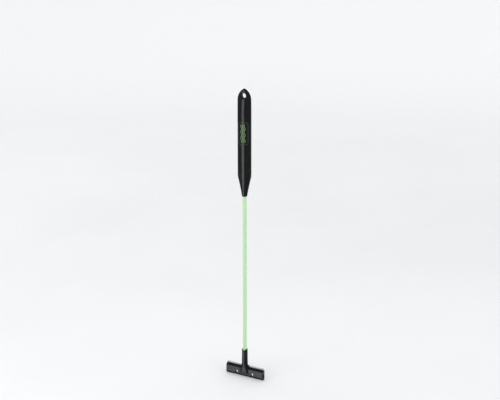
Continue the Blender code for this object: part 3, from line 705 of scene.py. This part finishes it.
def make_grip(material):
    end = at_height([point * NECK_END_SCALE for point in grip_outline(GRIP_LOW.z)], GRIP_LOW.z)
    rings = [end] + [at_height(grip_outline(z), z) for z in grip_heights()]
    body = to_object("grip_moulding", loft(rings))
    lead, lead_top, below = 0.35 * MM, 0.3 * MM, 0.1 * MM
    bore = [
        (SOCKET_RADIUS + lead, GRIP_LOW.z - below),
        (SOCKET_RADIUS, GRIP_LOW.z + lead_top),
        (SOCKET_RADIUS, SLEEVE_HIGH.z + SOCKET_SPARE),
    ]
    pin_low, pin_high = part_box("grip_cross_pin")
    pin_ends = (pin_low.y - PIN_SPARE, GRIP_HALF_DEPTH + OVERSHOOT)
    pin_hole = pin_bore(pin_low, pin_high, pin_ends)
    shaped(body, cuts=[hang_hole(), turned(bore), cover_bed(), pin_hole])
    piece(body, material, "holder", "grip_body")


def make_cover(material):
    rings = []
    for z in cover_heights():
        half = cover_half_width(z)
        edge = (half, roof(half) * thinned(z))
        strip = (GRIP_STRIP_HALF, GRIP_HALF_DEPTH * thinned(z))
        outline = mirrored([(half, COVER_LOW.y), edge, strip])
        rings.append(at_height(rounded(outline, COVER_EDGE_RADIUS), z))
    cover = to_object("grip_cover_plate", loft(rings))
    reach = COVER_HIGH.z - COVER_LOW.z
    gates = [gate_mark(0, COVER_LOW.z + reach * share, GRIP_HALF_DEPTH) for share in COVER_GATES]
    piece(shaped(cover, cuts=gates), material, "holder", "grip_back_cover")


def ribbon(path, width, closed=False):
    """A thin printed line along a path of (x, z) pairs on the grip's front."""
    sink, parts = 0.05 * MM, 8
    across = [2 * i / parts - 1 for i in range(parts + 1)]
    edges = [(share, INK_LIFT) for share in reversed(across)]
    edges += [(share, -sink) for share in across]
    points = [Vector(p) for p in path]
    rings = []
    for i, point in enumerate(points):
        last = len(points) - 1
        before = points[i - 1] if closed or i else point
        after = points[(i + 1) % len(points)] if closed or i < last else point
        along = (after - before).normalized()
        side = Vector((-along.y, along.x)) * width / 2
        ring = []
        for share, out in edges:
            x, z = point + side * share
            ring.append(Vector((x, -roof(x) - out, z)))
        rings.append(ring)
    return loft(rings, closed)


def make_waves(ink, count=3, steps=72):
    """The printed mark's waves, side by side along the grip."""
    reach = MOTIF_HIGH_Z - MOTIF_LOW_Z - 2 * MOTIF_MARGIN
    for number in range(count):
        middle = (number - (count - 1) / 2) * WAVE_SPACING
        path = []
        for i in range(steps + 1):
            t = i / steps
            x = middle + WAVE_SWING * math.sin(2 * math.pi * WAVE_TURNS * t)
            path.append((x, MOTIF_LOW_Z + MOTIF_MARGIN + reach * t))
        wave = to_object(f"grip_motif_wave_{number + 1}", ribbon(path, WAVE_LINE))
        piece(shaped(wave), ink, "holder")


def make_motif_frame(ink, corner_steps=8, spacing=0.5 * MM):
    """The rounded frame round the waves, on points so close that it follows the roof."""
    path = []
    for quadrant in range(4):
        side = 1 if quadrant in (0, 3) else -1
        end = MOTIF_HIGH_Z - MOTIF_CORNER if quadrant in (0, 1) else MOTIF_LOW_Z + MOTIF_CORNER
        for i in range(corner_steps + 1):
            angle = math.pi / 2 * (quadrant + i / corner_steps)
            across = side * (MOTIF_HALF - MOTIF_CORNER) + MOTIF_CORNER * math.cos(angle)
            path.append((across, end + MOTIF_CORNER * math.sin(angle)))
    dense = []
    for a, b in zip(path, path[1:] + path[:1]):
        parts = max(1, round((Vector(b) - Vector(a)).length / spacing))
        dense += [Vector(a).lerp(Vector(b), i / parts) for i in range(parts)]
    line = to_object("grip_motif_frame", ribbon(dense, MOTIF_LINE, closed=True))
    piece(shaped(line), ink, "holder")


# ---- Rod ----


def pin_bore(low, high, ends, clearance=0.06 * MM):
    """The hole for a cross pin between two corners, from one depth to another."""
    radius = (high.x - low.x) / 2 + clearance
    return turned_along_y([(radius, y) for y in ends], 0, (low.z + high.z) / 2, sides=48)


def make_sleeve(material):
    bore, ease = ROD_RADIUS - SLEEVE_WALL, 0.2 * MM
    profile = [
        (bore, SLEEVE_LOW.z),
        (ROD_RADIUS - ease, SLEEVE_LOW.z),
        (ROD_RADIUS, SLEEVE_LOW.z + ease),
        (ROD_RADIUS, SLEEVE_HIGH.z - ease),
        (ROD_RADIUS - ease, SLEEVE_HIGH.z),
        (bore, SLEEVE_HIGH.z),
    ]
    sleeve = to_object("sleeve_tube", turned(profile, wrap=True))
    across = ROD_RADIUS + OVERSHOOT
    pins = [pin_bore(*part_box(node), (-across, across)) for node in CROSS_PINS]
    piece(shaped(sleeve, cuts=pins), material, "holder", "rod_sleeve")


def make_cross_pin(node, name, material, ease=0.3 * MM, steps=5):
    """A ground pin with rounded ends."""
    low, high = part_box(node)
    radius = (high.x - low.x) / 2
    half = []
    for i in range(steps + 1):
        angle = math.pi / 2 * i / steps
        half.append((radius - ease * (1 - math.sin(angle)), ease * (1 - math.cos(angle))))
    profile = [(r, low.y + along) for r, along in half]
    profile += [(r, high.y - along) for r, along in reversed(half)]
    pin = to_object(name, turned_along_y(profile, 0, (low.z + high.z) / 2, sides=48))
    piece(shaped(pin), material, "holder", node)


# ---- Head ----


def stem_ring(z, half, front, back, facet, slope=STEM_SLOPE):
    """A section of the socket stem: a flat facet in front and a rounded back."""
    side = STEM_BACK_SHARE * half
    right = [
        (facet, front),
        (half, front + (half - facet) * slope),
        (half, back - (half - side)),
        (side, back),
    ]
    return at_height(rounded(mirrored(right), STEM_ROUNDING), z)


def stem(steps=18):
    """The wedge and the socket stem, from the wedge's lower edge up to the rim."""
    front, back, rim_z = FRONT_LOW.y, FRONT_HIGH.y, FRONT_HIGH.z
    inside, behind = JAW_FRONT_Y + WEDGE_FOOT_DEPTH, back - MM
    foot = (WEDGE_HALF, inside, behind, WEDGE_FOOT_FACET, WEDGE_SLOPE)
    wedge = (WEDGE_HALF, front + WEDGE_DROP, behind, WEDGE_FACET, WEDGE_SLOPE)
    knee = (WEDGE_KNEE_HALF, front + WEDGE_KNEE_DROP, behind, WEDGE_KNEE_FACET, WEDGE_KNEE_SLOPE)
    rings = [
        stem_ring(WEDGE_BOTTOM_Z, *foot),
        stem_ring(WEDGE_CHAMFER_Z, *wedge),
        stem_ring(WEDGE_KNEE_Z, *knee),
    ]
    for i in range(steps + 1):
        t = i / steps
        z = THROAT_Z + (STEM_NECK_Z - THROAT_Z) * t
        half = STEM_NECK_HALF + (THROAT_HALF - STEM_NECK_HALF) * (1 - t) ** THROAT_FLARE
        facet = STEM_NECK_FACET + (THROAT_FACET - STEM_NECK_FACET) * (1 - t) ** 2
        rings.append(stem_ring(z, half, front, back, facet))
    rings.append(stem_ring(rim_z - RIM_EASE_RISE, RIM_HALF, front, back, STEM_NECK_FACET))
    # the rim's rounded edge: how much narrower it is, and how far below the top it is so
    for less, drop in ((0.05 * MM, 0.25 * MM), (0.15 * MM, 0.08 * MM), (0.3 * MM, 0.0)):
        section = (RIM_HALF - less, front + less, back - less, STEM_NECK_FACET)
        rings.append(stem_ring(rim_z - drop, *section))
    return loft(rings)


def slot_ring(x, y, grow, arc_steps=20):
    """An upright oval outline in a plane across Y."""
    straight = (SLOT_HEIGHT - SLOT_WIDTH) / 2
    radius = SLOT_WIDTH / 2 + grow
    points = []
    for end in (1, -1):
        for i in range(arc_steps + 1):
            angle = math.pi * i / arc_steps + (0 if end > 0 else math.pi)
            up = radius * math.sin(angle) + end * straight
            points.append(Vector((x + radius * math.cos(angle), y, SLOT_Z + up)))
    return points


def slot(x):
    """An upright oval hole through the front jaw, with rounded rims."""
    # how much wider the hole is, and how far below the face it is so
    rim = [(SLOT_RIM + OVERSHOOT, -OVERSHOOT), (SLOT_RIM, 0.0)]
    rim += [(SLOT_RIM * 0.35, SLOT_RIM * 0.4), (0.0, SLOT_RIM)]
    front = [slot_ring(x, JAW_FRONT_Y + deep, grow) for grow, deep in rim]
    back = [slot_ring(x, JAW_SPLIT_Y - deep, grow) for grow, deep in reversed(rim)]
    return loft(front + back)


def arch(half, low, top, steps=24):
    """An outline of (x, z) pairs: a round arch on straight sides."""
    outline = [(-half, low), (half, low)]
    for i in range(steps + 1):
        angle = math.pi * i / steps
        outline.append((half * math.cos(angle), top - half + half * math.sin(angle)))
    return outline


def window(x):
    """The arched gap that keeps the rear jaw clear of a slot, drawn in to a lip at the back."""
    outline = [Vector(p) for p in arch(WINDOW_HALF, HEAD_Z - 3 * OVERSHOOT, WINDOW_TOP_Z)]
    # how far the outline is drawn in, and where it is so, from front to back
    lip = [
        (0.0, JAW_INNER_Y - SEAM / 2),
        (0.0, JAW_BACK_Y - WINDOW_LIP),
        (WINDOW_LIP_TURN, JAW_BACK_Y - WINDOW_LIP_TURN),
        (WINDOW_LIP, JAW_BACK_Y),
        (WINDOW_LIP + OVERSHOOT, JAW_BACK_Y + OVERSHOOT),
    ]
    rings = []
    for drawn_in, y in lip:
        rings.append([Vector((x + a, y, b)) for a, b in inset(outline, drawn_in)])
    return loft(rings)


def rim_dip(steps=12):
    """The round-bottomed cut that lowers the front of the socket's rim."""
    rim_z, half, in_front = FRONT_HIGH.z, SOCKET_DIP_HALF, -8 * MM
    top = rim_z + 4 * OVERSHOOT
    outline = [(half, top)]
    for i in range(steps + 1):
        angle = math.pi * i / steps
        outline.append((half * math.cos(angle), rim_z - SOCKET_DIP * math.sin(angle)))
    outline.append((-half, top))
    return loft([[Vector((x, y, z)) for x, z in outline] for y in (in_front, 0.0)])


def thumb_notch():
    """An upright oval bar across the front jaw's right end."""
    ends = [(1, JAW_FRONT_Y - OVERSHOOT), (1, JAW_SPLIT_Y + OVERSHOOT)]
    notch = turned_along_y(ends, 0, 0)
    size = Matrix.Diagonal((NOTCH_DEPTH, 1, NOTCH_HALF, 1))
    notch.transform(Matrix.Translation((FRONT_HIGH.x, 0, NOTCH_Z)) @ size)
    return notch


def shoulder_step():
    """The space behind the front jaw and under the stem's stepped back."""
    front, reach = JAW_SPLIT_Y, SHOULDER_STEP_REACH
    corners = [(-reach, front), (reach, front), (reach, reach), (-reach, reach)]
    return loft([at_height(corners, z) for z in (HEAD_Z - OVERSHOOT, SHOULDER_STEP_Z)])


def make_front_jaw(material):
    outline = [
        (JAW_SPLIT_Y, HEAD_Z),
        (LOWER_BEVEL_END_Y, HEAD_Z),
        (LOWER_BEVEL_TURN_Y, LOWER_BEVEL_Z),
        (JAW_FRONT_Y, FACE_BOTTOM_Z),
        (JAW_FRONT_Y, FACE_TOP_Z),
        (UPPER_BEVEL_END_Y, JAW_TOP_Z),
        (JAW_SPLIT_Y, JAW_TOP_Z),
    ]
    section = rounded(outline, FRONT_EDGE_RADIUS)
    bar = along_x(section, FRONT_LOW.x, FRONT_HIGH.x, JAW_END_EASE)
    jaw = to_object("front_jaw_moulding", bar)
    bore_ends = (SLEEVE_LOW.z - SOCKET_SPARE, FRONT_HIGH.z + 5 * OVERSHOOT)
    bore = turned([(SOCKET_RADIUS, z) for z in bore_ends])
    pin_hole = pin_bore(PIN_LOW, PIN_HIGH, (PIN_LOW.y - PIN_SPARE, FRONT_HIGH.y + OVERSHOOT))
    cuts = [shoulder_step(), slot(-SLOT_X), slot(SLOT_X), bore, rim_dip(), pin_hole]
    shaped(jaw, cuts=cuts + [thumb_notch()], joins=[stem()])
    piece(jaw, material, "holder", "head_front_jaw")


def blade_channel():
    """The channel for the blade, open at the top and at the right end."""
    past = 5 * OVERSHOOT
    low = Vector((BLADE_LOW.x - SEAM, 0, BLADE_LOW.z - SEAM))
    high = Vector((REAR_HIGH.x + past, BLADE_HIGH.y + SEAM, JAW_TOP_Z + past))
    corners = [(low.x, low.y), (high.x, low.y), (high.x, high.y), (low.x, high.y)]
    return loft([at_height(corners, z) for z in (low.z, high.z)])


def make_rear_jaw(material):
    outline = [
        (JAW_INNER_Y, HEAD_Z),
        (JAW_INNER_Y, JAW_TOP_Z),
        (JAW_BACK_Y - REAR_UPPER_BEVEL, JAW_TOP_Z),
        (JAW_BACK_Y, REAR_BEVEL_Z),
        (JAW_BACK_Y, FACE_BOTTOM_Z),
        (JAW_BACK_Y - REAR_LOWER_BEVEL, HEAD_Z),
    ]
    section = rounded(outline, REAR_EDGE_RADIUS)
    bar = along_x(section, REAR_LOW.x, REAR_HIGH.x, JAW_END_EASE)
    jaw = to_object("rear_jaw_moulding", bar)
    gates = [gate_mark(x, GATE_Z, JAW_BACK_Y) for x in (-GATE_X, GATE_X)]
    shaped(jaw, cuts=[blade_channel(), window(-SLOT_X), window(SLOT_X)] + gates)
    piece(jaw, material, "holder", "head_rear_jaw")


def make_blade(material):
    middle_y = (BLADE_LOW.y + BLADE_HIGH.y) / 2
    half = (BLADE_HIGH.y - BLADE_LOW.y) / 2
    top = BLADE_HIGH.z
    edge = [(half, top - GRIND_DEPTH), (HONE_HALF, top - HONE_DEPTH), (CUTTING_EDGE_HALF, top)]
    outline = [(middle_y + half, BLADE_LOW.z)]
    outline += [(middle_y + width, z) for width, z in edge]
    outline += [(middle_y - width, z) for width, z in reversed(edge)]
    outline.append((middle_y - half, BLADE_LOW.z))
    rings = [[Vector((x, y, z)) for y, z in outline] for x in (BLADE_LOW.x, BLADE_HIGH.x)]
    blade = to_object("blade_strip", loft(rings))
    piece(shaped(blade), material, "blade", "blade")


# ---- Studio ----

FLOOR_RADIUS = 4.0
FLOOR_CURVE = 1.5  # the radius by which the floor curves up into the wall
WALL_HEIGHT = 2.2  # above the floor
CAMERA_PLACE = (0.5156, -0.9953, HEAD_Z + 0.6067)
CAMERA_TILT = math.radians(74.07)
CAMERA_YAW = math.radians(26.98)


def softbox(name, azimuth, distance, height, size, power):
    """A rectangular light aimed at the tool's middle, from an azimuth to the right of the front."""
    light = bpy.data.lights.new(name, "AREA")
    light.shape = "RECTANGLE"
    light.size, light.size_y = size
    light.energy = power
    lamp = bpy.data.objects.new(name, light)
    bpy.context.scene.collection.objects.link(lamp)
    angle = math.radians(azimuth)
    lamp.location = (distance * math.sin(angle), -distance * math.cos(angle), height)
    aim = Vector((0, 0, HEAD_Z / 2)) - lamp.location
    lamp.rotation_euler = aim.to_track_quat("-Z", "Y").to_euler()
    lamp.visible_camera = False


def make_floor(steps=12):
    """A pale round floor that curves up into a low wall, seamless from every side."""
    flat = FLOOR_RADIUS - FLOOR_CURVE
    profile = [(radius, HEAD_Z) for radius in (0.02, 1.0, flat)]
    for i in range(1, steps + 1):
        angle = math.pi / 2 * i / steps
        rise = FLOOR_CURVE * (1 - math.cos(angle))
        profile.append((flat + FLOOR_CURVE * math.sin(angle), HEAD_Z + rise))
    profile.append((FLOOR_RADIUS, HEAD_Z + WALL_HEIGHT))
    rings = [circle(radius, z, sides=96) for radius, z in profile]
    floor = to_object("studio_floor", loft(rings, lid=False))
    floor.data.shade_smooth()
    nodes = Nodes("pale floor")
    cloud = nodes.spread(nodes.noise(0.4, 3), *NOISE_RANGE)
    near = nodes.mix(cloud, rgb(0.80, 0.805, 0.81), rgb(0.83, 0.835, 0.84))
    away = nodes.add("ShaderNodeVectorMath", {0: nodes.place()}, operation="LENGTH")
    # painted light: the floor is painted paler with distance from the middle, up into the wall,
    # which lifts the far floor and wall that get less light
    base = nodes.mix(nodes.spread(away.outputs["Value"], 1.0, 3.2), near, rgb(0.97, 0.97, 0.97))
    nodes.set(Base_Color=base, Roughness=0.7)
    floor.data.materials.append(nodes.material)


def make_studio():
    make_floor()
    world = bpy.data.worlds.new("soft daylight")
    world.use_nodes = True
    background = world.node_tree.nodes["Background"]
    background.inputs["Color"].default_value = (0.98, 0.987, 1.0, 1.0)
    background.inputs["Strength"].default_value = 0.95
    bpy.context.scene.world = world
    softbox("key", azimuth=-95, distance=1.6, height=1.1, size=(1.0, 1.0), power=5)
    softbox("strip", azimuth=-27, distance=1.1, height=HEAD_Z + 0.30, size=(0.22, 0.56), power=3)
    softbox("fill", azimuth=80, distance=1.9, height=0.6, size=(1.2, 1.2), power=9)


def make_camera():
    """The camera stands to the right of the tool and a little above it."""
    camera = bpy.data.cameras.new("camera")
    camera.lens = 57.12
    camera.sensor_width = 36
    camera.clip_start, camera.clip_end = 0.01, 50
    view = bpy.data.objects.new("camera", camera)
    bpy.context.scene.collection.objects.link(view)
    view.location = CAMERA_PLACE
    view.rotation_euler = (CAMERA_TILT, 0, CAMERA_YAW)
    bpy.context.scene.camera = view


# ---- The tool ----

# the greys given to black_plastic, here and in the calls below, are the painted sheen on flats
# facing front or back, and the tint of worn edges and scratches
DEEP_BLACK = (0.0048, 0.005, 0.0052)
SOFT_BLACK = (0.007, 0.0072, 0.0075)
BACK_SHEEN_GREY = (0.045, 0.045, 0.046)
BACK_ROUGHNESS = 0.42

make_grip(black_plastic("grip plastic", (0.055, 0.055, 0.056), DEEP_BLACK, 0.36))
make_cover(black_plastic("cover plastic", BACK_SHEEN_GREY, SOFT_BLACK, BACK_ROUGHNESS))
make_waves(printed_ink("wave ink", (0.17, 0.31, 0.11)))
make_motif_frame(printed_ink("frame ink", (0.03, 0.06, 0.03)))
make_sleeve(mint_plastic("mint sleeve", (0.455, 0.705, 0.39)))
make_front_jaw(black_plastic("head plastic", (0.065, 0.063, 0.062), DEEP_BLACK, 0.38))
make_rear_jaw(black_plastic("rear jaw plastic", BACK_SHEEN_GREY, SOFT_BLACK, BACK_ROUGHNESS))
make_blade(blade_steel("blade steel", BLADE_HIGH.z - GRIND_DEPTH))
ground_steel = steel("pin steel", (0.6, 0.6, 0.6), 0.3, (1.0, 0.03, 1.0))
for node, name in CROSS_PINS.items():
    make_cross_pin(node, name, ground_steel)

core_steel = steel("core steel", (0.5, 0.5, 0.51), 0.35, (1.0, 1.0, 0.03))
plug_rubber = rubber("plug rubber")
for node, finish in (
    ("rod_core", core_steel),
    ("rod_upper_plug", plug_rubber),
    ("rod_lower_plug", plug_rubber),
):
    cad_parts[node].data.materials.clear()
    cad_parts[node].data.materials.append(finish)

make_studio()
make_camera()
bpy.context.scene.view_settings.view_transform = "Standard"
